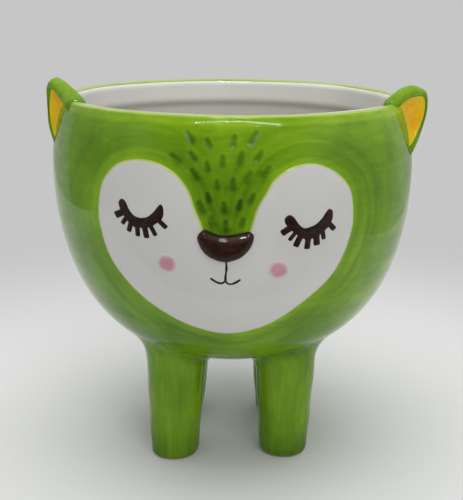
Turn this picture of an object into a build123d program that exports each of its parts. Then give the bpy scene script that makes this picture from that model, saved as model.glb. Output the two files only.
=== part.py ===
from build123d import *
import os
from math import cos, radians, sin

# Bowl, in millimetres. Heights are above the table, and the face looks along -Y.
BOWL_DIAMETER = 150
RIM_HEIGHT = 151
RIM_INSET = 4.2  # how far the rim draws in from the widest place
UNDERSIDE_HEIGHT = 43
UNDERSIDE_FLAT_DIAMETER = 25
WALL = 5
FLOOR = 6
DRAIN_DIAMETER = 10
WIDEST_SHARE = 0.727  # how far up the bowl is widest
BELLY_OUT_SHARE = 0.62  # how far the underside runs out before it turns up
BELLY_UP_SHARE = 0.615  # how far the side runs down before it turns in

# Glaze and enamel coats
INNER_GLAZE = 0.6
DRAIN_GLAZE_GAP = 1.0  # bare ring left around the drain hole
FACE_GLAZE = 0.5
ENAMEL = 0.4

# Face panel, as shares of the bowl's width and height
FACE_WIDTH_SHARE = 0.62
FACE_HEIGHT_SHARE = 0.602
CHIN_SHARE = 0.235  # from the underside up to the chin
# Right half of its outline, from the chin round to the notch under the nose
FACE_OUTLINE_SHARES = (
    (0.0, 0.0),
    (0.44, 0.1),
    (0.79, 0.31),
    (0.97, 0.58),
    (0.98, 0.8),
    (0.84, 0.955),
    (0.65, 0.995),
    (0.45, 0.965),
    (0.29, 0.845),
    (0.21, 0.7),
    (0.12, 0.61),
    (0.0, 0.59),
)

# Nose
NOSE_WIDTH = 20
NOSE_HEIGHT = 11.4
NOSE_STAND = 2.2  # how far its front stands out past the bowl's widest place
NOSE_RISE = 7  # how far back from its front the nose is rounded
NOSE_BOTTOM_SHARE = 0.489  # from the chin up the face
# Right half of its outline, from the bottom round to the dip at the top
NOSE_OUTLINE_SHARES = ((0.0, 0.0), (0.68, 0.2), (1.0, 0.68), (0.66, 1.0), (0.0, 0.9))
NOSE_MIDDLE_SHARE = 0.52
# Each step forward: how far it is, and how large the outline still is
NOSE_STEP_SHARES = ((0.0, 1.0), (0.5, 0.98), (0.82, 0.86), (1.0, 0.6))

# Closed eyes: a crescent and a fan of lashes around a point between its tips
EYE_WIDTH = 15
EYE_DROP = 5.6  # from the tips down to the crescent's upper edge
EYE_BODY = 4.0  # the crescent's depth at its middle
EYE_ARM = 2.2  # the crescent's thickness at its rounded tips
LASH_ROOT = 7.5  # from the eye's point to where a lash starts, inside the crescent
LASH_REACH = 12.4  # from the eye's point to a lash's tip
LASH_THICKNESS = 1.8
LASH_COUNT = 7
LASH_FIRST = 216  # degrees from the line between the crescent's tips
LASH_SPREAD = 104
LEFT_EYE_TILT = -2.5
RIGHT_EYE_TILT = 4
# Where each eye is: across the face from its middle, and up it from the chin
LEFT_EYE_SHARES = (-0.327, 0.785)
RIGHT_EYE_SHARES = (0.318, 0.746)

# Cheeks and mouth
CHEEK_DIAMETER = 6.6
LEFT_CHEEK_SHARES = (-0.23, 0.445)
RIGHT_CHEEK_SHARES = (0.201, 0.42)
MOUTH_STROKE = 0.9
MOUTH_DROP = 8.3  # from the nose to where the line parts
MOUTH_WIDTH = 10
MOUTH_SAG = 1.2
MOUTH_LIFT = 0.4

# Fur strokes pressed into the forehead, in a patch sized by shares of the bowl's width and height
FUR_WIDTH_SHARE = 0.173
FUR_BOTTOM_SHARE = 0.6435
FUR_HEIGHT_SHARE = 0.287
FUR_LENGTH = 4.0
FUR_THICKNESS = 1.7
FUR_DEPTH = 0.7
FUR_FAN = 34  # degrees a stroke leans out at the patch's edge
# Where each stroke is: across the patch's half width, and up it
FUR_SHARES = (
    (-0.96, 1.0),
    (-0.45, 0.94),
    (0.2, 0.97),
    (0.78, 1.0),
    (-0.88, 0.8),
    (-0.08, 0.75),
    (0.42, 0.78),
    (0.9, 0.8),
    (-0.48, 0.68),
    (1.0, 0.62),
    (-0.84, 0.59),
    (-0.21, 0.49),
    (0.21, 0.49),
    (0.62, 0.57),
    (-0.46, 0.34),
    (0.7, 0.33),
    (-0.68, 0.2),
    (0.0, 0.23),
    (0.38, 0.26),
    (-0.37, 0.06),
    (0.46, 0.06),
)

# Legs
LEG_SPACING_X = 46.6
LEG_SPACING_Y = 45
LEG_SOLE_DIAMETER = 21.6
LEG_TOP_DIAMETER = 27
LEG_TENON = 24  # how far a leg runs up past the underside, where it is cut to fit
LEG_WALL = 4
LEG_SOLE = 4
LEG_ROUNDING = 2.2
VENT_DIAMETER = 4

# Ears. Shares of the outline are from the ear's middle, outward and up.
EAR_WIDTH = 22
EAR_HEIGHT = 28
EAR_DEPTH = 11
EAR_INSET = 1.0  # from the bowl's widest place in to the ear's middle
EAR_DROP = 11  # from the rim down to the ear's middle
EAR_ROUND_BOWL = 72  # degrees from the face's middle
LEFT_EAR_TURN = 40  # degrees the ear looks outward
RIGHT_EAR_TURN = 32
EAR_HOLLOW_DEPTH = 5
EAR_LINING = 0.8
EAR_DRIFT_SHARE = 0.5  # how far its back drifts outward for each length it goes back
EAR_OUTLINE_SHARES = (
    (0.03, -0.385),
    (0.25, -0.14),
    (0.36, 0.03),
    (0.395, 0.25),
    (0.335, 0.505),
    (0.02, 0.62),
    (-0.29, 0.57),
    (-0.55, 0.42),
    (-0.6, 0.1),
    (-0.35, -0.22),
)
EAR_HOLLOW_SHARES = (
    (0.0, -0.2),
    (0.15, -0.08),
    (0.28, 0.08),
    (0.33, 0.3),
    (0.28, 0.46),
    (0.0, 0.44),
    (-0.28, 0.34),
    (-0.2, 0.08),
)
EAR_HOLLOW_MIDDLE_SHARES = (0.07, 0.2)
# Each step back from the front of the ear: how deep it is, and how large the outline still is
EAR_BODY_STEP_SHARES = ((0.0, 0.93), (0.12, 1.0), (0.4, 0.93), (0.7, 0.74), (1.0, 0.36))
EAR_HOLLOW_STEP_SHARES = ((-0.1, 1.05), (0.45, 0.88), (1.0, 0.3))

HALF_SHARE = 0.5

bowl_radius = BOWL_DIAMETER / 2
rim_radius = bowl_radius - RIM_INSET
flat_radius = UNDERSIDE_FLAT_DIAMETER / 2
bowl_height = RIM_HEIGHT - UNDERSIDE_HEIGHT
widest_height = UNDERSIDE_HEIGHT + WIDEST_SHARE * bowl_height
lip_height = RIM_HEIGHT - WALL / 2
floor_height = UNDERSIDE_HEIGHT + FLOOR
front_reach = BOWL_DIAMETER  # a cut through the front clears the whole bowl
face_width = FACE_WIDTH_SHARE * BOWL_DIAMETER
face_height = FACE_HEIGHT_SHARE * bowl_height
chin_height = UNDERSIDE_HEIGHT + CHIN_SHARE * bowl_height
nose_bottom = chin_height + NOSE_BOTTOM_SHARE * face_height
leg_length = UNDERSIDE_HEIGHT + LEG_TENON


def draw_side(out, base):
    """Draws the bowl's side from its flat underside to its lip, moved out, from height base."""
    wide = bowl_radius + out
    run_out = flat_radius + BELLY_OUT_SHARE * (wide - flat_radius)
    run_down = widest_height - BELLY_UP_SHARE * (widest_height - base)
    half_up = (widest_height + lip_height) * HALF_SHARE
    Bezier((flat_radius, base), (run_out, base), (wide, run_down), (wide, widest_height))
    Bezier((wide, widest_height), (wide, half_up), (rim_radius + out, lip_height))


def fill(out, mode=Mode.ADD):
    """Adds or cuts the bowl's whole outside as a solid, grown by out."""
    base = UNDERSIDE_HEIGHT - out
    with BuildSketch(Plane.XZ) as section:
        with BuildLine():
            Line((0, base), (flat_radius, base))
            draw_side(out, base)
            Polyline((rim_radius + out, lip_height), (0, lip_height), (0, base))
        make_face()
    revolve(section.sketch, axis=Axis.Z, mode=mode)


def coat(inner, outer):
    """Adds a skin on the bowl's front half, between two distances from its wall."""
    low, high = UNDERSIDE_HEIGHT - inner, UNDERSIDE_HEIGHT - outer
    with BuildSketch(Plane.XZ) as section:
        with BuildLine():
            draw_side(inner, low)
            draw_side(outer, high)
            Line((flat_radius, low), (flat_radius, high))
            Line((rim_radius + inner, lip_height), (rim_radius + outer, lip_height))
        make_face()
    revolve(section.sketch, axis=Axis((0, 0, 0), (0, 0, -1)), revolution_arc=180)


def draw_half(width, height, bottom, shares, size=1, middle=0):
    """Fills an outline given by its right half, shrunk to size around its middle height."""
    points = []
    for across, up in shares:
        up = middle + size * (up - middle)
        points.append((size * across * width * HALF_SHARE, bottom + up * height))
    with BuildLine() as half:
        Spline(*points, tangents=((1, 0), (-1, 0)))
        Line(points[-1], points[0])
    make_face(half.edges())
    mirror(about=Plane.YZ)


def on_face(shares):
    """A place on the face: how far it is to the side, and how high above the table."""
    across, up = shares
    return across * face_width, chin_height + up * face_height


def cut_nose():
    """Cuts the nose's outline out of a coat."""
    with BuildSketch(Plane.XZ) as outline:
        draw_half(NOSE_WIDTH, NOSE_HEIGHT, nose_bottom, NOSE_OUTLINE_SHARES)
    extrude(outline.sketch, amount=front_reach, mode=Mode.SUBTRACT)


def eye_plane(shares, tilt):
    """The plane of an eye, seen from the front, with its middle between the crescent's tips."""
    side, height = on_face(shares)
    across = (cos(radians(tilt)), 0, sin(radians(tilt)))
    return Plane((side, 0, height), x_dir=across, z_dir=(0, -1, 0))


def lashes(shares, tilt):
    """Adds one closed eye: a crescent with a fan of lashes under it."""
    coat(FACE_GLAZE, FACE_GLAZE + ENAMEL)
    tip = (EYE_WIDTH - EYE_ARM) / 2
    left, right = (-tip, 0), (tip, 0)
    middle = (LASH_ROOT + LASH_REACH) * HALF_SHARE
    with BuildSketch(eye_plane(shares, tilt)) as eye:
        with BuildLine() as arm:
            ThreePointArc(left, (0, -EYE_DROP - EYE_ARM / 2), right)
        trace(arm.edges(), line_width=EYE_ARM)
        with Locations(left, right):
            Circle(EYE_ARM / 2)
        with BuildLine() as body:
            ThreePointArc(left, (0, -EYE_DROP - EYE_ARM / 2), right)
            ThreePointArc(right, (0, -EYE_DROP - EYE_BODY), left)
        make_face(body.edges())
        with PolarLocations(middle, LASH_COUNT, LASH_FIRST, LASH_SPREAD, endpoint=True):
            SlotOverall(LASH_REACH - LASH_ROOT, LASH_THICKNESS)
    extrude(eye.sketch, amount=front_reach, mode=Mode.INTERSECT)


def cheek(shares):
    """Adds one round cheek."""
    coat(FACE_GLAZE, FACE_GLAZE + ENAMEL)
    with BuildSketch(Plane.XZ) as spot:
        with Locations(on_face(shares)):
            Circle(CHEEK_DIAMETER / 2)
    extrude(spot.sketch, amount=front_reach, mode=Mode.INTERSECT)


def leg(side, back):
    """Adds one hollow leg, cut to fit the underside. side and back are each -1 or 1."""
    x, y = side * LEG_SPACING_X / 2, back * LEG_SPACING_Y / 2
    sole, top = LEG_SOLE_DIAMETER / 2, LEG_TOP_DIAMETER / 2
    stand = (Align.CENTER, Align.CENTER, Align.MIN)
    with Locations((x, y, 0)):
        solid = Cone(sole, top, leg_length, align=stand)
    fillet(solid.edges().sort_by(Axis.Z)[0], LEG_ROUNDING)
    with Locations((x, y, LEG_SOLE)):
        Cone(sole - LEG_WALL, top - LEG_WALL, leg_length, align=stand, mode=Mode.SUBTRACT)
    with Locations((x, y, 0)):
        Cylinder(VENT_DIAMETER / 2, LEG_SOLE * 2, mode=Mode.SUBTRACT)
    fill(0, Mode.SUBTRACT)


def ear_plane(side, turn, back):
    """The plane of an ear's outline, moved back from its front. side is -1 or 1."""
    place, look = radians(EAR_ROUND_BOWL), radians(turn)
    out = bowl_radius - EAR_INSET
    middle = (side * out * sin(place), -out * cos(place), RIM_HEIGHT - EAR_DROP)
    across, facing = (cos(look), side * sin(look), 0), (side * sin(look), -cos(look), 0)
    return Plane(middle, x_dir=across, z_dir=facing).offset(-back)


def ear_loft(side, turn, outline, middle, steps, depth, forward, mode):
    """Adds or cuts a rounded body that shrinks to its middle as it goes back."""
    sections = []
    for back, size in steps:
        points = []
        for share in outline:
            across, up = (m + size * (s - m) for s, m in zip(share, middle))
            drift = EAR_DRIFT_SHARE * back * depth
            points.append((side * (across * EAR_WIDTH + drift), up * EAR_HEIGHT))
        with BuildSketch(ear_plane(side, turn, back * depth - forward)) as section:
            with BuildLine():
                Spline(*points, periodic=True)
            make_face()
        sections.append(section.sketch)
    loft(sections, mode=mode)


def ear_body(side, turn):
    """Adds an ear with no hollow yet."""
    steps = EAR_BODY_STEP_SHARES
    ear_loft(side, turn, EAR_OUTLINE_SHARES, (0, 0), steps, EAR_DEPTH, 0, Mode.ADD)


def ear_hollow(side, turn, forward, mode):
    """Cuts an ear's hollow, or keeps only what lies in it."""
    outline, middle = EAR_HOLLOW_SHARES, EAR_HOLLOW_MIDDLE_SHARES
    steps = EAR_HOLLOW_STEP_SHARES
    ear_loft(side, turn, outline, middle, steps, EAR_HOLLOW_DEPTH, forward, mode)


def fit_to_bowl():
    """Cuts away what would lie in the bowl's wall, its lip or its opening."""
    fill(0, Mode.SUBTRACT)
    add(bowl.part, mode=Mode.SUBTRACT)
    with Locations((0, 0, lip_height)):
        Cylinder(rim_radius - WALL / 2, WALL, mode=Mode.SUBTRACT)


with BuildPart() as fur:
    coat(-FUR_DEPTH, 0)
    fur_half_width = FUR_WIDTH_SHARE * BOWL_DIAMETER * HALF_SHARE
    with BuildSketch(Plane.XZ):
        for across, up in FUR_SHARES:
            up = FUR_BOTTOM_SHARE + up * FUR_HEIGHT_SHARE
            with Locations((across * fur_half_width, UNDERSIDE_HEIGHT + up * bowl_height)):
                SlotOverall(FUR_LENGTH, FUR_THICKNESS, rotation=90 - across * FUR_FAN)
    extrude(amount=front_reach, mode=Mode.INTERSECT)

with BuildPart() as bowl:
    with BuildSketch(Plane.XZ):
        with BuildLine():
            Line((0, UNDERSIDE_HEIGHT), (flat_radius, UNDERSIDE_HEIGHT))
            draw_side(0, UNDERSIDE_HEIGHT)
            crest = (rim_radius - WALL / 2, RIM_HEIGHT)
            ThreePointArc((rim_radius, lip_height), crest, (rim_radius - WALL, lip_height))
            draw_side(-WALL, floor_height)
            Polyline((flat_radius, floor_height), (0, floor_height), (0, UNDERSIDE_HEIGHT))
        make_face()
    revolve(axis=Axis.Z)
    with Locations((0, 0, UNDERSIDE_HEIGHT)):
        Cylinder(DRAIN_DIAMETER / 2, FLOOR * 3, mode=Mode.SUBTRACT)
    add(fur.part, mode=Mode.SUBTRACT)
bowl.part.label = "bowl"

with BuildPart() as inner_glaze:
    glaze_height = floor_height + INNER_GLAZE
    bare_radius = DRAIN_DIAMETER / 2 + DRAIN_GLAZE_GAP
    with BuildSketch(Plane.XZ):
        with BuildLine():
            draw_side(-WALL, floor_height)
            draw_side(-WALL - INNER_GLAZE, glaze_height)
            Line((rim_radius - WALL, lip_height), (rim_radius - WALL - INNER_GLAZE, lip_height))
            ends = (flat_radius, floor_height), (flat_radius, glaze_height)
            Polyline(ends[0], (bare_radius, floor_height), (bare_radius, glaze_height), ends[1])
        make_face()
    revolve(axis=Axis.Z)
inner_glaze.part.label = "inner_glaze"

with BuildPart() as nose:
    nose_back = bowl_radius + NOSE_STAND - NOSE_RISE
    for forward, size in NOSE_STEP_SHARES:
        with BuildSketch(Plane.XZ.offset(nose_back + forward * NOSE_RISE)):
            outline = (NOSE_WIDTH, NOSE_HEIGHT, nose_bottom, NOSE_OUTLINE_SHARES)
            draw_half(*outline, size, NOSE_MIDDLE_SHARE)
    loft()
    fill(0, Mode.SUBTRACT)
nose.part.label = "nose"

with BuildPart() as face_panel:
    coat(0, FACE_GLAZE)
    with BuildSketch(Plane.XZ):
        draw_half(face_width, face_height, chin_height, FACE_OUTLINE_SHARES)
    extrude(amount=front_reach, mode=Mode.INTERSECT)
    cut_nose()
face_panel.part.label = "face_panel"

with BuildPart() as mouth:
    coat(FACE_GLAZE, FACE_GLAZE + ENAMEL)
    parting = nose_bottom - MOUTH_DROP
    with BuildSketch(Plane.XZ):
        with BuildLine():
            Line((0, nose_bottom + MOUTH_STROKE), (0, parting))
            for end in (-MOUTH_WIDTH / 2, MOUTH_WIDTH / 2):
                low = (end * HALF_SHARE, parting - MOUTH_SAG)
                ThreePointArc((0, parting), low, (end, parting + MOUTH_LIFT))
        trace(line_width=MOUTH_STROKE)
    extrude(amount=front_reach, mode=Mode.INTERSECT)
    cut_nose()
mouth.part.label = "mouth"

with BuildPart() as left_lashes:
    lashes(LEFT_EYE_SHARES, LEFT_EYE_TILT)
left_lashes.part.label = "left_lashes"

with BuildPart() as right_lashes:
    lashes(RIGHT_EYE_SHARES, RIGHT_EYE_TILT)
right_lashes.part.label = "right_lashes"

with BuildPart() as left_cheek:
    cheek(LEFT_CHEEK_SHARES)
left_cheek.part.label = "left_cheek"

with BuildPart() as right_cheek:
    cheek(RIGHT_CHEEK_SHARES)
right_cheek.part.label = "right_cheek"

with BuildPart() as front_left_leg:
    leg(-1, -1)
front_left_leg.part.label = "front_left_leg"

with BuildPart() as front_right_leg:
    leg(1, -1)
front_right_leg.part.label = "front_right_leg"

with BuildPart() as rear_left_leg:
    leg(-1, 1)
rear_left_leg.part.label = "rear_left_leg"

with BuildPart() as rear_right_leg:
    leg(1, 1)
rear_right_leg.part.label = "rear_right_leg"

with BuildPart() as left_ear:
    ear_body(-1, LEFT_EAR_TURN)
    ear_hollow(-1, LEFT_EAR_TURN, 0, Mode.SUBTRACT)
    fit_to_bowl()
left_ear.part.label = "left_ear"

with BuildPart() as right_ear:
    ear_body(1, RIGHT_EAR_TURN)
    ear_hollow(1, RIGHT_EAR_TURN, 0, Mode.SUBTRACT)
    fit_to_bowl()
right_ear.part.label = "right_ear"

with BuildPart() as left_ear_lining:
    ear_body(-1, LEFT_EAR_TURN)
    ear_hollow(-1, LEFT_EAR_TURN, 0, Mode.INTERSECT)
    ear_hollow(-1, LEFT_EAR_TURN, EAR_LINING, Mode.SUBTRACT)
    fit_to_bowl()
    add(left_ear.part, mode=Mode.SUBTRACT)
left_ear_lining.part.label = "left_ear_lining"

with BuildPart() as right_ear_lining:
    ear_body(1, RIGHT_EAR_TURN)
    ear_hollow(1, RIGHT_EAR_TURN, 0, Mode.INTERSECT)
    ear_hollow(1, RIGHT_EAR_TURN, EAR_LINING, Mode.SUBTRACT)
    fit_to_bowl()
    add(right_ear.part, mode=Mode.SUBTRACT)
right_ear_lining.part.label = "right_ear_lining"

os.makedirs("parts", exist_ok=True)
clay = (bowl, nose, left_ear, right_ear)
legs = (front_left_leg, front_right_leg, rear_left_leg, rear_right_leg)
glazes = (inner_glaze, face_panel, left_ear_lining, right_ear_lining)
enamels = (left_lashes, right_lashes, left_cheek, right_cheek, mouth)
for piece in (*clay, *legs, *glazes, *enamels):
    export_step(piece.part, f"parts/{piece.part.label}.step")
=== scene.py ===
import math

import bmesh
import bpy
import numpy as np
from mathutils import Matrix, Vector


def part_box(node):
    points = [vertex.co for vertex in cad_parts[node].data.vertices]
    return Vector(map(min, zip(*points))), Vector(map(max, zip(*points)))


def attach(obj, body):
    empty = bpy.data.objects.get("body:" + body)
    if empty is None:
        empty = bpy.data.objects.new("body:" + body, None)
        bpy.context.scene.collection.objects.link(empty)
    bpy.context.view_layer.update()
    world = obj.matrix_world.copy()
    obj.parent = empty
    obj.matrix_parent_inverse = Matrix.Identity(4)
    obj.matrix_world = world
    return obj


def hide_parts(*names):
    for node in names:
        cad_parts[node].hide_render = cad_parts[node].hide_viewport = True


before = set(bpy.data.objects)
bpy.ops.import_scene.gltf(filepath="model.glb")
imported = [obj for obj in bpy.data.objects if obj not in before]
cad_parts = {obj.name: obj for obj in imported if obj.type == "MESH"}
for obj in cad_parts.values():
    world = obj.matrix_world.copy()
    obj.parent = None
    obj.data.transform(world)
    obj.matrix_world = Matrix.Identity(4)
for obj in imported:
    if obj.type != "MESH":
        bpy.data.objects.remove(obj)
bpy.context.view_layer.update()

# Lengths are millimetres until a mesh is made. X is across the face, -Y is forward, Z is up.
MM = 0.001
BODY = "root"


def box_of(node):
    """A node's lowest and highest corners in millimetres."""
    low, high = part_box(node)
    return np.array(low) / MM, np.array(high) / MM


# Bowl
bowl_low, bowl_high = box_of("bowl")
BOWL_RADIUS = float(bowl_high[0])
UNDERSIDE = float(bowl_low[2])
RIM = float(bowl_high[2])
BOWL_HEIGHT = RIM - UNDERSIDE
RIM_INSET = 4.2  # how much further in the lip starts than the widest place
FLAT_RADIUS = 12.5
WALL = 5.0
FLOOR = 6.0
DRAIN_RADIUS = 5.0
DRAIN_BEVEL = 0.6
WIDEST_SHARE = 0.727
BELLY_OUT_SHARE = 0.62
BELLY_UP_SHARE = 0.615
WIDEST = UNDERSIDE + WIDEST_SHARE * BOWL_HEIGHT
LIP = RIM - WALL / 2
RIM_RADIUS = BOWL_RADIUS - RIM_INSET
CREST_MIDDLE = np.array((RIM_RADIUS - WALL / 2, LIP))
LIP_RUN = 1.048  # how far the side runs on past the lip's start
LIP_ROLL, LIP_FLAT = 0.6, 1.1  # how the wall turns over to the top of the lip
LEDGE_LOW, LEDGE_HIGH = 137.3, 142.3  # between these the wall inside grows into the rim's thicker band
LEDGE_SHADE = 139.7
GLAZE_EDGE_FRONT, GLAZE_EDGE_BACK = 115.0, 141.0  # degrees over the lip from its outer side
GLAZE_EDGE_BY_EAR = 20.0
INNER_GLAZE = 0.6
FACE_GLAZE = 0.5
ENAMEL = 0.35
COAT_SINK = 0.3  # how far a coat reaches into what it lies on

# The fired pot leans a little: its right side sits lower above the legs
LEAN = 0.0087
LEAN_FROM, LEAN_TO = 45.0, 90.0

# Face panel: the white's outline as seen from the front, up both sides from the chin to the nose
FACE_CHIN, FACE_NOTCH = (0, 68.4), (0, 104.5)
FACE_RIGHT = (
    (10, 70.4), (20, 75.6), (30.7, 84.2), (38, 91.3), (42.2, 99), (44.9, 107.7), (45.5, 114),
    (44.2, 123.2), (39.5, 129.6), (32.5, 133.4), (25, 133.4), (18.2, 129.7), (14.2, 124),
    (11.3, 118.8), (9.6, 113), (7.5, 107.5))
FACE_LEFT = (
    (-10, 70.3), (-20, 74.6), (-30.5, 81.6), (-38.3, 89.3), (-43.6, 97.4), (-46.3, 106.5),
    (-47.1, 114), (-45.3, 123.9), (-40.4, 130.8), (-33.5, 134), (-25.6, 134), (-18.1, 130.6),
    (-13.4, 125), (-11.3, 118.8), (-8.8, 112.7), (-6.8, 107.5))
BORDER = 0.65  # width of the yellow green line around the white

# Nose: its outline as seen from the front
NOSE = (
    (0.7, 99.6), (5.6, 101.4), (8.6, 104.6), (9.9, 107.6), (10, 109.7), (8.6, 110.9), (5.8, 110.4),
    (-0.6, 109.4), (-5, 110.5), (-7.6, 111.4), (-9.6, 109.7), (-9.9, 107.3), (-7.8, 103),
    (-4, 100.4))
NOSE_HALF_WIDTH = 10.0
NOSE_LIFT = 3.9
NOSE_ROUND = 5.6
NOSE_FALL = 0.08  # how much thinner its sides are

# Closed eyes: a middle, a crescent's outline around it, and each lash's root, tip and half width
EYES = {
    "left": {
        "middle": (-30.4, 119.4),
        "crescent": (
            (-7, 0.8), (-5.6, -0.1), (-4.4, -2.6), (-2.8, -4.6), (-0.3, -5.4), (2.5, -4.7),
            (4.8, -2.7), (7, 0), (8.1, 0), (8.6, -2.1), (8, -4.9), (5.4, -7.2), (3.2, -8.6),
            (0.3, -9.2), (-2.8, -9.2), (-5.6, -6.8), (-7.9, -3), (-8.3, -0.5)),
        "lashes": (
            ((-6.9, -4.2), (-9.9, -5.9), 1.3), ((-5.8, -6.5), (-7.3, -8.7), 0.85),
            ((-4, -8.5), (-4.8, -11.3), 0.95), ((-1.4, -8.8), (-1.3, -12.6), 0.95),
            ((1.4, -8.8), (2.1, -12.8), 1.1), ((3.8, -8.3), (5.5, -11.5), 0.9),
            ((7, -5.9), (9.6, -8.2), 0.95))},
    "right": {
        "middle": (29.6, 116.9),
        "crescent": (
            (-7.2, -0.2), (-5.6, -1.2), (-3.8, -3.8), (-1.8, -5.4), (0.8, -4.9), (2.7, -3.9),
            (4.5, -2.1), (6.1, 0.3), (7.1, 0.9), (8.3, -0.2), (8.2, -3.2), (6.8, -5.9), (3.6, -8.6),
            (1.5, -9.6), (-0.4, -9.8), (-2.4, -9.3), (-6, -6.5), (-8.7, -3.3), (-8.8, -1.2)),
        "lashes": (
            ((-7.3, -5.2), (-10, -7), 1.25), ((-5.6, -7.6), (-7.3, -9.7), 0.78),
            ((-3.4, -8.7), (-5, -12.2), 1.15), ((-0.4, -9.5), (-0.8, -13.5), 1.1),
            ((2.5, -8.7), (2.8, -12.4), 1.2), ((4.8, -7.4), (5.3, -10.4), 0.85),
            ((7.1, -4.7), (9.2, -7.1), 1.0))},
}
LASH_ROUND = 0.55
LASH_ROOT = 1.1  # how far a lash runs into its crescent

MOUTH_LINES = (
    ((0, 101.2), (0.3, 97.6), (0, 94.5), (-0.2, 91.9)),
    ((-0.1, 92.3), (-0.9, 91.4), (-1.9, 91.1), (-3.5, 91.6), (-5.2, 92.8)),
    ((-0.2, 92.3), (0.6, 91.1), (2, 90.8), (3.4, 91.4), (5, 92.5)),
)
MOUTH_HALF = 0.43
CHEEKS = {"left_cheek": ((-21.2, 97.6), 3.4), "right_cheek": ((18.7, 96.0), 3.4)}
CHEEK_FADE = 0.5
CHEEK_ENAMEL = 0.12

# Fur strokes on the forehead
FUR = (
    (-17.6, 136.2), (-12.5, 143.6), (-5.9, 141.7), (2.8, 142.5), (9.9, 143.9), (-11.4, 137.3),
    (-1, 135.8), (5.3, 136.7), (11.6, 137.6), (-6.2, 133.8), (14.2, 132.1), (-10.9, 130.9),
    (-2.8, 127.7), (2.7, 127.8), (8, 130.3), (-6, 123), (9.2, 122.8), (-8.8, 119.5), (-0.4, 119.6),
    (4.9, 120.6), (-4.8, 114.3), (0.1, 112.9), (5.9, 114.2))
FUR_FAN = 2.9  # degrees that a stroke leans for each millimetre from the middle
FUR_HALF_LENGTH = 1.4
FUR_SOFT = 1.15  # how far from a stroke's middle line its dent fades
FUR_DEPTH = 0.27
FUR_LIP = 0.04
FUR_LIP_OUT, FUR_LIP_WIDTH = 1.5, 0.45

# Legs: the sides each stands on, how far it is from its even place at its foot and where it joins the bowl,
# and how light its glaze is
LEG_X, LEG_Y = 23.3, 22.5
LEGS = {
    "front_left_leg": ((-1, -1), (-0.8, -1.6), (0.4, -0.8), 0.54),
    "front_right_leg": ((1, -1), (-0.8, 2.1), (-0.1, 1), 0.48),
    "rear_left_leg": ((-1, 1), (-1.5, 0), (1, 0), 0.5),
    "rear_right_leg": ((1, 1), (-3, 0), (-3.2, 0), 0.5),
}
LEG_JOIN = 46.0
LEG_FREE = 34.0  # up to this height a leg is clear of the bowl
LEG_SOLE_RADIUS = 9.95
LEG_TAPER = 0.06
LEG_ROUNDING = 2.2
LEG_BLEND = 6.0
LEG_TOP = 62.0
LEG_SINK = 2.0  # how far a leg runs on into the bowl's wall
VENT_RADIUS = 2.0
VENT_DEPTH = 3.5
VENT_BEVEL = 0.4

# Ears: outlines on the plane an ear looks out of, outward and up from the ear's middle. The plane is turned
# by look, in degrees, and drift is how fast the ear's back slides outward
EAR_OUT = BOWL_RADIUS - 1.0
EAR_UP = RIM - 11.0
EAR_ROUND_BOWL = 72.0  # degrees from the face
EAR_LANDING, EAR_LANDING_WIDTH = EAR_ROUND_BOWL - 4, 9.0  # where an ear lies on the lip
EARS = {
    "left": {
        "sign": -1, "look": 40.0, "drift": 0.9, "centre": (-2.2, 6.0), "depth": 1.7,
        "outline": (
            (0.4, -7.8), (3.1, -0.7), (3.7, 6.1), (3.6, 11.8), (2.9, 16.5), (-0.2, 19.0),
            (-5.0, 17.9), (-9.6, 15.7), (-13.5, 13.3), (-17.2, 10.2), (-17.5, 5.0), (-12.5, -2.0),
            (-6.5, -9.4), (-2.0, -11.5)),
        "field": (
            (0.2, 14.6), (-3.9, 11.7), (-7.5, 8.7), (-10.0, 6.3), (-9.0, 2.2), (-6.0, -2.2),
            (-2.7, -4.9), (0.0, -3.9), (1.3, -0.6), (2.1, 2.9), (2.2, 7.4), (1.6, 11.3))},
    "right": {
        "sign": 1, "look": 32.0, "drift": 0.55, "centre": (0.0, 5.0), "depth": 2.1,
        "outline": (
            (0.6, -11.6), (3.0, -8.0), (5.2, -3.6), (7.3, 1.9), (8.6, 6.7), (8.8, 10.9),
            (8.0, 14.8), (5.6, 16.5), (2.0, 17.4), (-0.8, 17.2), (-4.6, 16.0), (-8.0, 13.8),
            (-10.8, 10.6), (-10.6, 4.0), (-8.6, -3.0), (-5.5, -11.0), (-1.8, -14.8)),
        "field": (
            (-0.9, -7.2), (2.0, -4.8), (4.4, -0.5), (6.3, 3.7), (7.3, 7.9), (7.0, 12.0),
            (5.0, 13.4), (0.4, 12.9), (-3.1, 11.5), (-5.5, 9.8), (-8.3, 7.6), (-7.4, 3.0),
            (-5.4, -2.5), (-3.2, -6.5))},
}
# A hollow's depth across the field, the bead around it, and the back, as shares
EAR_HOLLOW = ((0.02, -1.0), (0.3, -0.97), (0.55, -0.84), (0.8, -0.52), (0.93, -0.2), (1.0, -0.04))
EAR_LIP = ((0.12, 0.12), (0.28, 0.23), (0.47, 0.27), (0.68, 0.19), (0.88, -0.06), (1.0, -0.4))
EAR_BACK = (
    (1.0, -2.2), (0.97, -3.4), (0.9, -5.0), (0.79, -6.6), (0.62, -8.0), (0.42, -9.0), (0.2, -9.5),
    (0.02, -9.7))
EAR_BACK_FROM = 2.0  # how far back the drift starts
EAR_BEAD = 0.9  # the least width of the bead
EAR_BEAD_LOW = 0.3  # how high the bead stands at the ear's lower end, as a share
EAR_STEPS = 4  # rings for each row of the tables above
EAR_TONE = 0.5
EAR_BLEND = 4.5
EAR_FLARE = 0.32
LINING_LIFT, LINING_SINK = 0.14, 0.5
LINING_SHARE = 0.985


# Curves and distances


def smoothstep(low, high, value):
    t = np.clip((value - low) / (high - low), 0, 1)
    return t * t * (3 - 2 * t)


def bezier(points, steps):
    """Points along a Bezier curve."""
    t = np.linspace(0, 1, steps)[:, None]
    n = len(points) - 1
    return sum(
        math.comb(n, i) * t**i * (1 - t) ** (n - i) * np.array(p, float) for i, p in enumerate(points))


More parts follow.
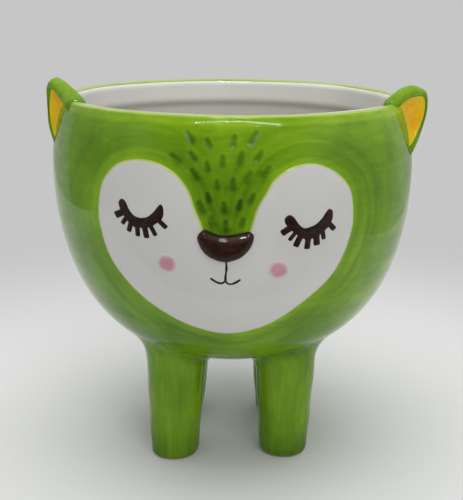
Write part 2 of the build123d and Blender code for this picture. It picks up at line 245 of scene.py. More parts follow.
def through(points, closed, steps=10):
    """A smooth line through points."""
    p = np.array(points, float)
    if closed:
        p = np.vstack([p[-1:], p, p[:2]])
    else:
        p = np.vstack([2 * p[0] - p[1], p, 2 * p[-1] - p[-2]])
    t = np.linspace(0, 1, steps, endpoint=False)[:, None]
    runs = []
    for a, b, c, d in zip(p, p[1:], p[2:], p[3:]):
        square, cube = 2 * a - 5 * b + 4 * c - d, 3 * b - a - 3 * c + d
        runs.append(0.5 * (2 * b + (c - a) * t + square * t**2 + cube * t**3))
    line = np.vstack(runs)
    return line if closed else np.vstack([line, p[-2]])


def line_distance(points, line):
    """Distance from each point to a polyline."""
    best = np.full(len(points), np.inf)
    for a, b in zip(line, line[1:]):
        run = b - a
        size = max(float(run @ run), 1e-12)
        t = np.clip(((points - a) @ run) / size, 0, 1)
        best = np.minimum(best, np.hypot(*(points - a - t[:, None] * run).T))
    return best


def outline_distance(points, outline):
    """Distance to a closed outline, below zero inside it."""
    inside = np.zeros(len(points), bool)
    x, z = points.T
    for (ax, az), (bx, bz) in zip(outline, np.roll(outline, -1, 0)):
        if az != bz:
            crossing = (az > z) != (bz > z)
            inside ^= crossing & (x < (bx - ax) * (z - az) / (bz - az) + ax)
    away = line_distance(points, np.vstack([outline, outline[:1]]))
    return np.where(inside, -away, away)


# The bowl's wall


def side(out, base):
    """The bowl's side from its flat underside to its lip, as radius and height."""
    wide = BOWL_RADIUS + out
    run_out = FLAT_RADIUS + BELLY_OUT_SHARE * (wide - FLAT_RADIUS)
    run_down = WIDEST - BELLY_UP_SHARE * (WIDEST - base)
    lower = bezier([(FLAT_RADIUS, base), (run_out, base), (wide, run_down), (wide, WIDEST)], 300)
    upper = bezier([(wide, WIDEST), (wide, (WIDEST + LIP) / 2), (RIM_RADIUS + out, LIP)], 120)
    return np.vstack([lower, upper[1:]])


OUTER = side(0, UNDERSIDE)


def inner_side():
    """The bowl's inside from its floor to its lip, which is thicker just under the rim."""
    line = side(-WALL, UNDERSIDE + FLOOR)
    past = np.maximum(line[:, 0] - (RIM_RADIUS - WALL), 0)
    line[:, 0] -= smoothstep(LEDGE_LOW, LEDGE_HIGH, line[:, 1]) * past
    return line


WIDEST_ROW = int(np.argmax(OUTER[:, 0]))
OUTER_SLOPE = np.gradient(OUTER[:, 0], OUTER[:, 1])


def radius_at(height):
    return np.interp(height, OUTER[:, 1], OUTER[:, 0])


def uneven(angle, height):
    """How far the hand finished wall strays outward."""
    up = np.clip((height - UNDERSIDE) / BOWL_HEIGHT, 0, 1)
    slow = 0.2 * np.sin(2 * angle + 0.6) + 0.12 * np.sin(3 * angle - 1.1)
    return up * slow + 0.09 * np.sin(5 * angle + 4 * up) * up


def on_bowl(flat, lift):
    """Places on the bowl's front, given as seen from the front, raised off the wall by lift."""
    across, height = flat.T
    radius = radius_at(height)
    for _ in range(2):
        angle = np.arcsin(np.clip(across / radius, -1, 1))
        radius = radius_at(height) + uneven(angle, height)
    back = np.sqrt(radius**2 - across**2)
    slope = np.interp(height, OUTER[:, 1], OUTER_SLOPE)
    normal = np.stack([across / radius, -back / radius, -slope], -1)
    normal /= np.linalg.norm(normal, axis=1)[:, None]
    return np.stack([across, -back, height], -1) + normal * np.reshape(lift, (-1, 1))


def clearance(points):
    """Distance from the bowl's outside, below zero within its wall or its space."""
    flat = np.stack([np.hypot(points[:, 0], points[:, 1]), points[:, 2]], -1)
    over = np.linspace(0, math.pi, 13)[:, None]
    crest = CREST_MIDDLE + WALL / 2 * np.hstack([np.cos(over), np.sin(over)])
    away = line_distance(flat, np.vstack([[0, UNDERSIDE], OUTER[::4], crest]))
    below = (flat[:, 1] > UNDERSIDE) & (flat[:, 1] < LIP) & (flat[:, 0] < radius_at(flat[:, 1]))
    return np.where(below | (np.hypot(*(flat - CREST_MIDDLE).T) < WALL / 2), -away, away)


# Meshes


def grid_faces(rows, columns, wrap_rows=False, wrap_columns=True):
    """Four sided faces over rows of points."""
    r = np.arange(rows if wrap_rows else rows - 1)[:, None]
    c = np.arange(columns if wrap_columns else columns - 1)[None, :]
    r1, c1 = (r + 1) % rows, (c + 1) % columns
    corners = (r * columns + c, r * columns + c1, r1 * columns + c1, r1 * columns + c)
    return np.stack(np.broadcast_arrays(*corners), -1).reshape(-1, 4)


def make(name, points, faces, material, node, slot, **values):
    """Makes a piece in metres that stands for a node, with its values stored on its points."""
    points = np.array(points, float)
    points[:, 2] -= LEAN * points[:, 0] * smoothstep(LEAN_FROM, LEAN_TO, points[:, 2])
    mesh = bpy.data.meshes.new(name)
    mesh.from_pydata((points * MM).tolist(), [], [list(f) for f in faces])
    work = bmesh.new()
    work.from_mesh(mesh)
    bmesh.ops.recalc_face_normals(work, faces=work.faces)
    work.to_mesh(mesh)
    work.free()
    for key, value in values.items():
        value = np.asarray(value, float)
        if value.ndim == 2:
            mesh.attributes.new(key, "FLOAT_VECTOR", "POINT").data.foreach_set("vector", value.ravel())
        else:
            mesh.attributes.new(key, "FLOAT", "POINT").data.foreach_set("value", value)
    mesh.shade_smooth()
    mesh.materials.append(material)
    piece = bpy.data.objects.new(name, mesh)
    bpy.context.scene.collection.objects.link(piece)
    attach(piece, BODY)
    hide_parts(node)
    return piece


def patch(distance, low, high, step, rise, base=0.0, sink=COAT_SINK):
    """A closed coat on the bowl's front, where distance is below zero.

    Gives its points, its faces and how far each point is from the coat's edge.
    """
    xs = np.arange(low[0], high[0] + step, step)
    zs = np.arange(low[1], high[1] + step, step)
    flat = np.stack(np.meshgrid(xs, zs), -1).reshape(-1, 2)
    deep = distance(flat)
    inside = deep < -0.3 * step
    faces = grid_faces(len(zs), len(xs), wrap_columns=False)
    faces = faces[inside[faces].any(1)]
    used = np.unique(faces)
    edge = used[~inside[used]]
    nudge = 0.1 * step
    for _ in range(3):
        here = flat[edge]
        d = distance(here)
        slope = np.stack([distance(here + off) - distance(here - off) for off in np.eye(2) * nudge], -1)
        slope /= 2 * nudge
        flat[edge] = here - slope * (d / np.maximum((slope**2).sum(1), 0.2))[:, None]
    renumber = np.full(len(flat), -1)
    renumber[used] = np.arange(len(used))
    flat, deep, top = flat[used], np.minimum(deep[used], 0), renumber[faces]
    deep[renumber[edge]] = 0
    count = len(flat)
    top_points = on_bowl(flat, base + rise(-deep, flat))
    points = np.vstack([top_points, on_bowl(flat, np.full(count, base - sink))])
    edges = np.sort(np.stack([top, np.roll(top, -1, 1)], -1).reshape(-1, 2), 1)
    pairs, times = np.unique(edges, axis=0, return_counts=True)
    rim = pairs[times == 1]
    walls = np.stack([rim[:, 0], rim[:, 1], rim[:, 1] + count, rim[:, 0] + count], -1)
    return points, np.vstack([top, top[:, ::-1] + count, walls]), np.tile(-deep, 2)


def rounded(height, edge):
    """A coat's thickness: nothing at its edge, and even further in than edge."""
    def rise(deep, flat=None):
        return height * np.sqrt(np.clip(1 - (1 - np.clip(deep / edge, 0, 1)) ** 2, 0, 1))

    return rise


# Materials


def add(tree, kind, sockets=(), **settings):
    """Adds a shader node, with values or links for its sockets."""
    node = tree.nodes.new("ShaderNode" + kind)
    for key, value in settings.items():
        setattr(node, key, value)
    for key, value in dict(sockets).items():
        if isinstance(value, bpy.types.NodeSocket):
            tree.links.new(value, node.inputs[key])
        else:
            node.inputs[key].default_value = value
    return node


def calc(tree, operation, a, b=0.0, c=0.0):
    return add(tree, "Math", {0: a, 1: b, 2: c}, operation=operation).outputs[0]


def blur(tree, value, low, high, to_low=0.0, to_high=1.0):
    """Goes smoothly from one number to another as value rises."""
    sockets = {"Value": value, "From Min": low, "From Max": high, "To Min": to_low, "To Max": to_high}
    return add(tree, "MapRange", sockets, interpolation_type="SMOOTHSTEP").outputs[0]


def noise(tree, vector, scale, detail=2.0, rough=0.5, warp=0.0):
    sockets = {"Vector": vector, "Scale": scale, "Detail": detail, "Roughness": rough, "Distortion": warp}
    return add(tree, "TexNoise", sockets).outputs[0]


def stretch(tree, vector, factors):
    return add(tree, "VectorMath", {0: vector, 1: factors}, operation="MULTIPLY").outputs[0]


def ramp(tree, value, stops):
    node = add(tree, "ValToRGB", {"Fac": value})
    bar = node.color_ramp
    while len(bar.elements) < len(stops):
        bar.elements.new(0.5)
    for element, (place, colour) in zip(bar.elements, stops):
        element.position = place
        element.color = (*colour, 1)
    return node.outputs[0]


def blend(tree, share, first, second):
    node = add(tree, "Mix", {"Factor": share}, data_type="RGBA")
    for socket, value in ((node.inputs[6], first), (node.inputs[7], second)):
        if isinstance(value, bpy.types.NodeSocket):
            tree.links.new(value, socket)
        else:
            socket.default_value = (*value, 1)
    return node.outputs[2]


def stored(tree, name, output="Fac"):
    return add(tree, "Attribute", attribute_name=name).outputs[output]


def begin(name):
    """A new material: its tree, its shader, and places on the object in metres."""
    material = bpy.data.materials.new(name)
    material.use_nodes = True
    tree = material.node_tree
    shader = next(n for n in tree.nodes if n.type == "BSDF_PRINCIPLED")
    place = add(tree, "TexCoord").outputs["Object"]
    return material, tree, shader, place


GLOSS_SCALE, PEEL_SCALE, SWELL_SCALE = 90.0, 260.0, 70.0
PEEL_SHARE = 0.35
BUMP_HEIGHT = 0.0006


def finish_glaze(tree, shader, place, colour, rough_low, rough_high, bump):
    """Gives a glaze its colour, its uneven gloss and its soft orange peel."""
    tree.links.new(colour, shader.inputs["Base Color"])
    gloss = noise(tree, place, GLOSS_SCALE, 3.0)
    tree.links.new(blur(tree, gloss, 0.3, 0.75, rough_low, rough_high), shader.inputs["Roughness"])
    peel = noise(tree, place, PEEL_SCALE, 1.0)
    swell = noise(tree, place, SWELL_SCALE, 1.0)
    height = calc(tree, "ADD", calc(tree, "MULTIPLY", peel, PEEL_SHARE), swell)
    normal = add(tree, "Bump", {"Strength": bump, "Distance": BUMP_HEIGHT, "Height": height}).outputs[0]
    tree.links.new(normal, shader.inputs["Normal"])


# LIP_GREEN is glaze running thinner on the rim, and along the crest also a painted highlight
LIP_GREEN = (0.42, 0.53, 0.15)  # thin glaze on the rim
GREEN_STOPS = (
    (0.0, (0.030, 0.075, 0.002)),
    (0.3, (0.085, 0.190, 0.004)),
    (0.55, (0.150, 0.300, 0.008)),
    (0.8, (0.240, 0.420, 0.014)),
    (1.0, (0.380, 0.560, 0.040)),
)
BISQUE = (0.56, 0.50, 0.40)
# What the brush strokes, finer strokes and clouds add to a place's tone, and what evens that out
STROKE_SHARE, FINE_SHARE, CLOUD_SHARE, TONE_DROP = 0.52, 0.2, 0.62, 0.68
FINE_STREAK = 3.1
FLOW_STRETCH = (0.42, 0.05, 0.05)
LIP_STRETCH = (90.0, 90.0, 500.0)
BARE_ROUGH, DENT_ROUGH = 0.6, 0.15


def green_glaze(name, streak):
    """Brushed green glaze. streak is how fine the strokes are along X, Y and Z.

    Stored on the points: tone for how light the glaze is, with painted light and shade among it, flow and
    near for strokes around the face, lip for glaze running thinner on the rim with a painted highlight, bare
    for clay and dent for the fur. A piece without one of them has 0 there.
    """
    material, tree, shader, place = begin(name)
    along = noise(tree, stretch(tree, place, streak), 1.0, 3.0, 0.55, 0.4)
    fine = noise(tree, stretch(tree, place, tuple(FINE_STREAK * s for s in streak)), 1.0, 2.0)
    flow = stretch(tree, stored(tree, "flow", "Vector"), FLOW_STRETCH)
    round_face = noise(tree, flow, 1.0, 3.0, 0.55, 0.4)
    sockets = {"Factor": stored(tree, "near"), 2: along, 3: round_face}
    strokes = add(tree, "Mix", sockets, data_type="FLOAT").outputs[0]
    cloud = noise(tree, place, 30.0, 3.0, 0.55, 0.8)
    speck = noise(tree, place, 900.0, 1.0)
    tone = calc(tree, "MULTIPLY_ADD", fine, FINE_SHARE, stored(tree, "tone"))
    tone = calc(tree, "MULTIPLY_ADD", strokes, STROKE_SHARE, tone)
    tone = calc(tree, "MULTIPLY_ADD", cloud, CLOUD_SHARE, tone)
    tone = calc(tree, "SUBTRACT", tone, TONE_DROP)
    tone = calc(tree, "SUBTRACT", tone, blur(tree, speck, 0.66, 0.78, 0.0, 0.12))
    colour = ramp(tree, tone, GREEN_STOPS)
    # the lip's pale green, partly a painted highlight along the crest
    ragged = noise(tree, stretch(tree, place, LIP_STRETCH), 1.0, 3.0)
    pale = calc(tree, "MULTIPLY_ADD", ragged, 0.9, stored(tree, "lip"))
    colour = blend(tree, blur(tree, pale, 0.85, 1.45), colour, LIP_GREEN)
    clay = blend(tree, noise(tree, place, 400.0, 3.0), BISQUE, tuple(0.8 * c for c in BISQUE))
    shader.inputs["Specular IOR Level"].default_value = 0.34
    bare = stored(tree, "bare")
    finish_glaze(tree, shader, place, blend(tree, bare, colour, clay), 0.025, 0.06, 0.03)
    rough = shader.inputs["Roughness"].links[0].from_socket
    rough = calc(tree, "MULTIPLY_ADD", bare, BARE_ROUGH, rough)
    rough = calc(tree, "MULTIPLY_ADD", stored(tree, "dent"), DENT_ROUGH, rough)
    tree.links.new(rough, shader.inputs["Roughness"])
    return material


WHITE = (0.61, 0.605, 0.588)
INSIDE_WHITE = (0.84, 0.83, 0.79)
# the grey that paints shade inside the bowl
SHADE_GREY = (0.36, 0.35, 0.30)
WHITE_SPECK = (0.45, 0.42, 0.34)
BORDER_STOPS = ((0.35, (0.30, 0.42, 0.04)), (0.65, (0.50, 0.58, 0.13)))


def white_glaze(name, tint, border):
    """Milky white glaze, a little uneven and warm in places, with painted shade where shade is stored.
    border paints its green edge.
    """
    material, tree, shader, place = begin(name)
    cloud = noise(tree, place, 32.0, 3.0)
    colour = ramp(tree, cloud, ((0.3, tuple(0.93 * c for c in tint)), (0.7, tint)))
    speck = noise(tree, place, 1100.0, 1.0)
    colour = blend(tree, blur(tree, speck, 0.7, 0.8, 0.0, 0.16), colour, WHITE_SPECK)
    # painted shade, as strong as the stored shade value
    painted_shade = calc(tree, "MULTIPLY", stored(tree, "shade"), 0.7)
    colour = blend(tree, painted_shade, colour, SHADE_GREY)
    if border:
        ragged = noise(tree, place, 300.0, 2.0)
        inward = calc(tree, "MULTIPLY_ADD", ragged, 0.5, stored(tree, "deep"))
        edge_colour = ramp(tree, noise(tree, place, 60.0, 2.0), BORDER_STOPS)
        colour = blend(tree, blur(tree, inward, BORDER - 0.25, BORDER + 0.75), edge_colour, colour)
    finish_glaze(tree, shader, place, colour, 0.07, 0.14, 0.035)
    return material


def dark_glaze(name, low, high, rough, coat):
    """Brushed brown, nearly black where it is thick."""
    material, tree, shader, place = begin(name)
    strokes = noise(tree, stretch(tree, place, (330.0, 330.0, 700.0)), 1.0, 3.0)
    colour = ramp(tree, strokes, ((0.35, low), (0.68, high)))
    finish_glaze(tree, shader, place, colour, rough, rough + 0.08, 0.04)
    shader.inputs["Specular IOR Level"].default_value = 0.05
    shader.inputs["Coat Weight"].default_value = coat
    shader.inputs["Coat Roughness"].default_value = 0.03
    return material


AMBER_STOPS = ((0.34, (0.82, 0.40, 0.010)), (0.5, (0.84, 0.52, 0.010)), (0.66, (0.84, 0.60, 0.012)))
AMBER_EDGE = (0.66, 0.54, 0.025)
PINK_STOPS = ((0.3, (0.50, 0.235, 0.30)), (0.7, (0.58, 0.31, 0.37)))


def amber_glaze(name):
    """Amber in the ear's hollow, more orange where it pools and yellow along its edge."""
    material, tree, shader, place = begin(name)
    colour = ramp(tree, noise(tree, place, 130.0, 2.0), AMBER_STOPS)
    edge = calc(tree, "MULTIPLY_ADD", noise(tree, place, 300.0, 2.0), 0.3, stored(tree, "rim"))
    colour = blend(tree, blur(tree, edge, 0.6, 1.25), colour, AMBER_EDGE)
    finish_glaze(tree, shader, place, colour, 0.06, 0.12, 0.05)
    return material


def pink_enamel(name):
    """A dabbed pink spot that fades into the white around it."""
    material, tree, shader, place = begin(name)
    inward = calc(tree, "MULTIPLY_ADD", noise(tree, place, 420.0, 3.0), 1.0, stored(tree, "deep"))
    pink = ramp(tree, noise(tree, place, 240.0, 2.0), PINK_STOPS)
    colour = blend(tree, blur(tree, inward, 0.3, 2.5), WHITE, pink)
    finish_glaze(tree, shader, place, colour, 0.08, 0.14, 0.035)
    return material


bowl_green = green_glaze("bowl_green", (35.0, 35.0, 210.0))
leg_green = green_glaze("leg_green", (260.0, 260.0, 28.0))
ear_green = green_glaze("ear_green", (150.0, 150.0, 90.0))
face_white = white_glaze("face_white", WHITE, True)
inside_white = white_glaze("inside_white", INSIDE_WHITE, False)
nose_brown = dark_glaze("nose_brown", (0.016, 0.007, 0.005), (0.040, 0.013, 0.007), 0.32, 0.3)
line_brown = dark_glaze("line_brown", (0.010, 0.006, 0.004), (0.036, 0.014, 0.009), 0.3, 0.6)
mouth_brown = dark_glaze("mouth_brown", (0.012, 0.010, 0.005), (0.040, 0.030, 0.014), 0.12, 0.6)
ear_amber = amber_glaze("ear_amber")
cheek_pink = pink_enamel("cheek_pink")


# Bowl: rows of rings, closer together and with more columns where the fur strokes are

FACE_OUTLINE = through([FACE_CHIN, *FACE_RIGHT, FACE_NOTCH, *FACE_LEFT[::-1]], True)
FACE_MIDDLE = 103.0  # the height that the brush went round
FINE_FROM, FINE_STEP, COARSE_STEP = 108.0, 0.36, 1.2
FINE_ANGLE, FINE_ANGLE_STEP, ANGLE_STEP = 16.0, 0.27, 1.2
STEADY_TO = UNDERSIDE + 15  # below this height the wall wavers less
OUTER_CREST_ROWS = 12
BROW_HALF = 20.0  # half the width that the fur strokes take up
FACE_NEAR, FACE_FAR = 72.0, 40.0  # where the white is looked for, and how far off it is elsewhere
FLOW_RADIUS = 30.0
BOWL_TONE = 0.47


def spaced(line, step):
    """Points evenly spaced along a line."""
    run = np.r_[0, np.cumsum(np.hypot(*np.diff(line, axis=0).T))]
    at = np.linspace(0, run[-1], max(2, round(run[-1] / step) + 1))
    return np.stack([np.interp(at, run, c) for c in line.T], -1)


def from_front(angle):
    """An angle around the bowl, from -pi to pi."""
    return np.arctan2(np.sin(angle), np.cos(angle))


def wavered(radius, angle, height):
    """A radius with the wall's waver added."""
    return radius + uneven(from_front(angle), height) * smoothstep(UNDERSIDE, STEADY_TO, height)


def round_bowl(angle, radius, height):
    """Points around the bowl's axis."""
    return np.stack([radius * np.sin(angle), -radius * np.cos(angle), height], -1).reshape(-1, 3)


def by_ear(angle):
    """How near a place around the bowl is to an ear's landing, from 0 to 1."""
    away = np.degrees(np.abs(from_front(angle))) - EAR_LANDING
    return np.exp(-((away / EAR_LANDING_WIDTH) ** 2))


lip_t = np.linspace(1, LIP_RUN, 5)
lip_run = np.stack([BOWL_RADIUS - RIM_INSET * lip_t**2, WIDEST + (LIP - WIDEST) * lip_t], -1)
lip_end = lip_run[-1]
lip_way = (lip_end - lip_run[-2]) / np.hypot(*(lip_end - lip_run[-2]))
crest_top = CREST_MIDDLE + (0, WALL / 2)
lip_roll = bezier([lip_end, lip_end + LIP_ROLL * lip_way, crest_top + (LIP_FLAT, 0), crest_top], 14)
turn = np.linspace(math.pi / 2, math.pi, 9)[:-1, None]
lip_inside = CREST_MIDDLE + WALL / 2 * np.hstack([np.cos(turn), np.sin(turn)])
flat_line = np.array([[DRAIN_RADIUS + DRAIN_BEVEL, UNDERSIDE], [FLAT_RADIUS, UNDERSIDE]])
outer_rows = np.vstack([
    spaced(flat_line, 1.5)[:-1],
    spaced(OUTER[OUTER[:, 1] < FINE_FROM], COARSE_STEP), spaced(OUTER[OUTER[:, 1] >= FINE_FROM], FINE_STEP)])
inner_line = inner_side()[::-1]
drain_rows = [
    [DRAIN_RADIUS + DRAIN_BEVEL, UNDERSIDE + FLOOR], [DRAIN_RADIUS, UNDERSIDE + FLOOR - DRAIN_BEVEL],
    [DRAIN_RADIUS, UNDERSIDE + DRAIN_BEVEL]]
profile = np.vstack([
    outer_rows, lip_run[1:], lip_roll[1:-1], lip_inside, spaced(inner_line, 2.0), drain_rows])
angles = np.radians(np.r_[
    np.arange(-FINE_ANGLE, FINE_ANGLE, FINE_ANGLE_STEP),
    np.arange(FINE_ANGLE, 360 - FINE_ANGLE, ANGLE_STEP)])

tangent = np.gradient(profile, axis=0)
normal = np.stack([tangent[:, 1], -tangent[:, 0]], -1)
normal = normal / np.maximum(np.hypot(*tangent.T), 1e-9)[:, None]
ring_r, ring_a = np.meshgrid(profile[:, 0], angles, indexing="ij")
ring_z = np.repeat(profile[:, 1:], len(angles), 1)
ring_r = wavered(ring_r, ring_a, ring_z)
flat_x, front = ring_r * np.sin(ring_a), np.cos(ring_a) > 0
outside = (np.arange(len(profile)) < len(outer_rows) + OUTER_CREST_ROWS)[:, None] & front

# Fur strokes: dents with a low lip around them
dent, lips = np.zeros(ring_r.shape), np.zeros(ring_r.shape)
brow = outside & (np.abs(flat_x) < BROW_HALF) & (ring_z > FINE_FROM)
brow_flat = np.stack([flat_x[brow], ring_z[brow]], -1)
brow_dent, brow_lips = np.zeros(len(brow_flat)), np.zeros(len(brow_flat))
for number, (x, z) in enumerate(FUR):
    lean = math.radians(FUR_FAN * x + 5 * math.sin(2.3 * number))
    size = 1 + 0.18 * math.sin(1.9 * number + 0.7)
    run = size * FUR_HALF_LENGTH * np.array([math.sin(lean), math.cos(lean)])
    stroke = line_distance(brow_flat, np.array([(x, z) - run, (x, z) + run]))
    along = (brow_flat - (x, z)) @ run / (run @ run)
    soft = FUR_SOFT * size * (1 - 0.25 * np.clip(along, -1, 1))
    strength = 1 + 0.15 * math.sin(3.1 * number)
    brow_dent = np.maximum(brow_dent, strength * np.exp(-((stroke / soft) ** 2)))
    brow_lips = np.maximum(brow_lips, np.exp(-(((stroke - FUR_LIP_OUT) / FUR_LIP_WIDTH) ** 2)))
dent[brow], lips[brow] = brow_dent, brow_lips
lips *= np.clip(1 - dent, 0, 1)
push = FUR_LIP * lips - FUR_DEPTH * dent
ring_r, ring_z = ring_r + push * normal[:, :1], ring_z + push * normal[:, 1:]

edge = np.full(ring_r.shape, FACE_FAR)
close = outside & (np.abs(flat_x) < FACE_NEAR) & (ring_z > UNDERSIDE + 5)
edge[close] = outline_distance(np.stack([flat_x[close], ring_z[close]], -1), FACE_OUTLINE)
low_down = smoothstep(105, 78, ring_z)
forehead = smoothstep(20, 12, np.abs(flat_x)) * (front & (ring_z > 104))
tone = BOWL_TONE + sum(amount * where for amount, where in (
    (0.13, smoothstep(136, 149, ring_z)),  # below the rim
    (0.2, smoothstep(146.6, 148.4, ring_z)),  # on the lip
    (0.2, 1 - smoothstep(0, 7, edge)),  # along the white
    # the next five are painted light and shade: lighter at the right, where more light falls, a painted
    # reflection far at the left, and darker at the left
    (0.06, smoothstep(35, 60, flat_x)),  # at the right
    (0.1, smoothstep(20, 50, flat_x) * low_down),  # low at the right
    (0.06, smoothstep(54, 70, -flat_x)),  # far at the left
    (-0.03, smoothstep(25, 50, -flat_x) * (1 - low_down)),  # high at the left
    (-0.09, smoothstep(15, 45, -flat_x) * low_down),  # low at the left
    (-0.12, forehead * smoothstep(143, 122, ring_z)),  # above the nose
    (-0.3, dent),  # in the fur strokes
    (0.06, lips)))  # beside them
around = np.arctan2(flat_x, ring_z - FACE_MIDDLE)
flow = np.stack([np.clip(edge, -5, 60), FLOW_RADIUS * np.sin(around), FLOW_RADIUS * np.cos(around)], -1)
# pale glaze running thinner on the lip's crest, partly a painted highlight, less where the ears lie
lip = (1 - by_ear(ring_a)) * smoothstep(RIM - 1.3, RIM - 0.25, ring_z)
make("bowl_glazed", round_bowl(ring_a, ring_r, ring_z), grid_faces(*ring_r.shape, wrap_rows=True),
     bowl_green, "bowl", "green_glaze",
     tone=tone.ravel(), flow=flow.reshape(-1, 3), near=(1 - smoothstep(6, 22, edge)).ravel(),
     lip=lip.ravel(), dent=dent.ravel())

# White glaze inside, with a wavering top edge on the lip
GLAZE_SINK = 0.4
GLAZE_TOP_EDGE, GLAZE_DRAIN_EDGE = 2.5, 1.2  # how far in from each edge the glaze is fully thick
inside_angles = np.radians(np.arange(0, 360, 1.0))
toward_back = smoothstep(0.2, 0.75, (1 - np.cos(inside_angles)) / 2)
edge_turn = GLAZE_EDGE_FRONT + (GLAZE_EDGE_BACK - GLAZE_EDGE_FRONT) * toward_back
edge_turn = edge_turn + GLAZE_EDGE_BY_EAR * by_ear(inside_angles)
waver = 2.5 * np.sin(4 * inside_angles + 1) + 2.5 * np.sin(7 * inside_angles) - 3 * np.sin(inside_angles)
edge_turn = np.radians(edge_turn + waver)
over = edge_turn + np.linspace(0, 1, 10, endpoint=False)[:, None] * (math.pi - edge_turn)
wall_line = np.vstack([spaced(inner_line, 0.8), [[DRAIN_RADIUS + 2 * DRAIN_BEVEL, UNDERSIDE + FLOOR]]])
wall_r, wall_z = (np.repeat(c[:, None], len(inside_angles), 1) for c in wall_line.T)
r = np.vstack([CREST_MIDDLE[0] + WALL / 2 * np.cos(over), wall_r])
z = np.vstack([CREST_MIDDLE[1] + WALL / 2 * np.sin(over), wall_z])
along_r, along_z = np.gradient(r, axis=0), np.gradient(z, axis=0)
size = np.hypot(along_r, along_z)
run = np.cumsum(size, axis=0)
thick = INNER_GLAZE * rounded(1, GLAZE_TOP_EDGE)(run - run[0]) * rounded(1, GLAZE_DRAIN_EDGE)(run[-1] - run)
r, z = (np.vstack([c + n * thick, (c - GLAZE_SINK * n)[::-1]])
        for c, n in ((r, along_z / size), (z, -along_r / size)))
turned = np.broadcast_to(inside_angles, r.shape)
r = wavered(r, turned, z)
# painted shade: a dark band just under the rim's thicker band, and darker further down the inside
shade = np.exp(-(((z - LEDGE_SHADE) / 1.7) ** 2)) + 0.45 * smoothstep(LEDGE_SHADE, LEDGE_LOW - 2, z)
make("inside_glaze", round_bowl(turned, r, z), grid_faces(*r.shape, wrap_rows=True),
     inside_white, "inner_glaze", "white_glaze", shade=shade.ravel())


# Coats and enamels on the face

ENAMEL_BASE = FACE_GLAZE - 0.03
points, faces, deep = patch(
    lambda p: outline_distance(p, FACE_OUTLINE) - BORDER, FACE_OUTLINE.min(0) - 2, FACE_OUTLINE.max(0) + 2,
    step=0.42, rise=rounded(FACE_GLAZE, 1.1))
make("face_white", points, faces, face_white, "face_panel", "white_glaze", deep=deep)

NOSE_OUTLINE = through(NOSE, True)


def nose_rise(deep, flat):
    """The nose's thickness, which falls away towards both sides."""
    fall = NOSE_FALL * (flat[:, 0] / NOSE_HALF_WIDTH) ** 2
    return rounded(NOSE_LIFT, NOSE_ROUND)(deep) * (1 - fall)


points, faces, _ = patch(
    lambda p: outline_distance(p, NOSE_OUTLINE), NOSE_OUTLINE.min(0) - 1, NOSE_OUTLINE.max(0) + 1,
    step=0.22, rise=nose_rise, sink=0.5)
nose_piece = make("nose_glazed", points, faces, nose_brown, "nose", "brown_glaze")


def eye_distance(eye):
    """Distance to a closed eye around its middle."""
    outline = through(eye["crescent"], True, 6)

    def distance(places):
        best = outline_distance(places, outline)
        for root, tip, half in eye["lashes"]:
            run = np.subtract(tip, root)
            way = run / np.hypot(*run)
            root = root - LASH_ROOT * way
            long = np.hypot(*(tip - root))
            local = (places - (root + tip) / 2) @ np.array([way, (-way[1], way[0])]).T
            q = np.abs(local) - (long / 2 - LASH_ROUND, half - LASH_ROUND)
            lash = np.hypot(*np.maximum(q, 0).T) + np.minimum(q.max(1), 0) - LASH_ROUND
            best = np.minimum(best, lash)
        return best

    return distance


for word, eye in EYES.items():
    shape, middle = eye_distance(eye), np.array(eye["middle"])
    points, faces, _ = patch(
        lambda p: shape(p - middle), middle - (14, 15), middle + (14, 3),
        step=0.22, rise=rounded(ENAMEL, 0.7), base=ENAMEL_BASE)
    make(word + "_eye", points, faces, line_brown, word + "_lashes", "dark_enamel")

mouth_curves = [through(line, False, 8) for line in MOUTH_LINES]


def mouth_distance(places):
    """Distance to the mouth's uneven line."""
    best = np.min([line_distance(places, line) for line in mouth_curves], axis=0)
    return best - MOUTH_HALF - 0.06 * np.sin(1.7 * places[:, 1] + 0.8 * places[:, 0])


points, faces, _ = patch(
    mouth_distance, np.array((-7, 89)), np.array((7, 102)),
    step=0.16, rise=rounded(ENAMEL * 0.7, 0.4), base=ENAMEL_BASE)
make("mouth_line", points, faces, mouth_brown, "mouth", "dark_enamel")

for name, (middle, radius) in CHEEKS.items():
    middle = np.array(middle)
    points, faces, deep = patch(
        lambda p: np.hypot(*(p - middle).T) - radius - CHEEK_FADE,
        middle - radius - 1.5, middle + radius + 1.5,
        step=0.3, rise=rounded(CHEEK_ENAMEL, 1.2), base=FACE_GLAZE - 0.01, sink=0.2)
    make(name + "_spot", points, faces, cheek_pink, name, "pink_enamel", deep=deep)


# Legs

LEG_TURNS = 96
leg_angles = np.linspace(0, 2 * math.pi, LEG_TURNS, endpoint=False)


def smooth_union(a, b, width):
    """The distance to two bodies that run together softly."""
    h = np.clip(0.5 + 0.5 * (b - a) / width, 0, 1)
    return b * (1 - h) + a * h - width * h * (1 - h)


def leg_ring(middle, radius, z):
    """A level ring of a leg."""
    x, y = (m + radius * way for m, way in zip(middle, (np.cos(leg_angles), np.sin(leg_angles))))
    return np.stack([x, y, np.full(LEG_TURNS, z)], -1)


